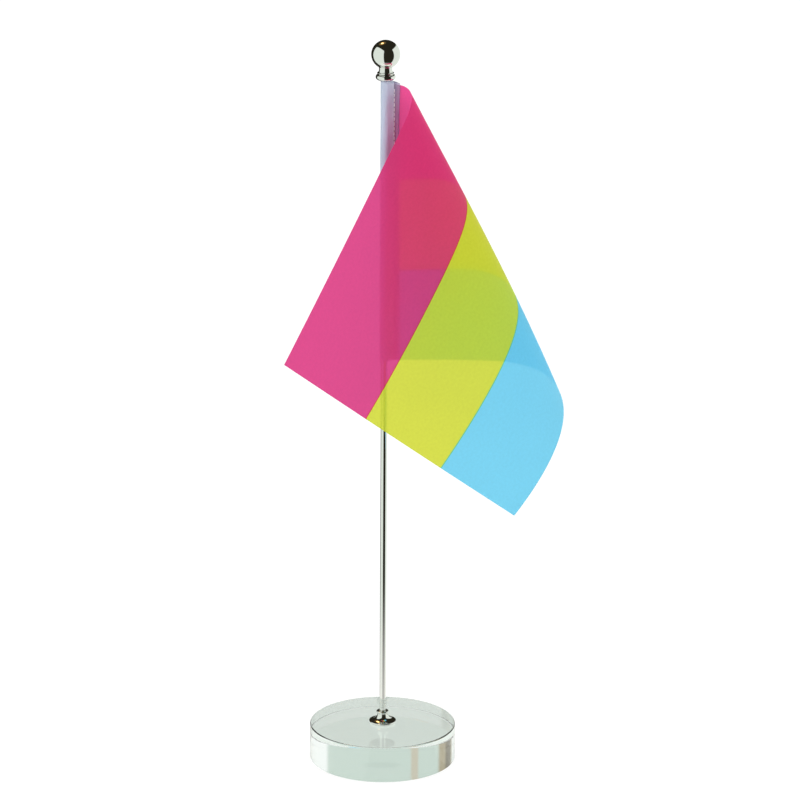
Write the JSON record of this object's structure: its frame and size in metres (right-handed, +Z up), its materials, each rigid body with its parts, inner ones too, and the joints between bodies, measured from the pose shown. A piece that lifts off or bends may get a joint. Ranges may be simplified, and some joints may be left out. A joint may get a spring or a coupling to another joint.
{
  "type": "desk flag stand",
  "caption": "Round clear glass base with a thin metal pole, a ball finial and a small folded flag in broad level stripes on a white sleeve.",
  "frame": {"origin": "centre of the glass base's underside", "axes": "+Z up along the pole, +X from the pole along the flag's hoist side, -Y towards the side that the flag's free end folds to"},
  "size_m": [0.1501, 0.1011, 0.4044],
  "materials": {
    "clear_glass": "polished clear glass with a faint green tint",
    "clear_adhesive": "cured clear adhesive",
    "bright_chrome": "polished",
    "plain_steel": "turned",
    "white_heading": "white woven tape and thread",
    "printed_cloth": "thin printed polyester in pink, yellow and sky blue stripes"
  },
  "bodies": {
    "base": {"glass_base": "clear_glass", "ferrule_bond_film": "clear_adhesive", "base_ferrule": "bright_chrome"},
    "pole": {"pole_rod": "bright_chrome", "foot_stud": "plain_steel"},
    "flag": {"flag_sleeve": "white_heading", "flag_field": "printed_cloth", "sleeve_seam_thread": "white_heading"},
    "ring": {"finial_ring": "bright_chrome"},
    "finial": {"finial_ball": "bright_chrome", "finial_stud": "plain_steel"}
  },
  "joints": [
    {"name": "pole_turn", "type": "hinge", "parent": "base", "child": "pole", "pos_m": [0, 0, 0.0255], "axis": [0, 0, 1], "range_deg": [0, 3600]},
    {"name": "flag_swivel", "type": "hinge", "parent": "pole", "child": "flag", "pos_m": [0, 0, 0.382], "axis": [0, 0, 1], "continuous": true},
    {"name": "finial_rise", "type": "slide", "parent": "pole", "child": "ring", "axis": [0, 0, 1], "range_m": [0, 0.0054]},
    {"name": "finial_turn", "type": "hinge", "parent": "ring", "child": "finial", "pos_m": [0, 0, 0.3864], "axis": [0, 0, 1], "range_deg": [0, 4320]}
  ],
  "couplings": [
    {"joint": "finial_turn", "follows": "finial_rise", "rad_per_m": 13963}
  ]
}
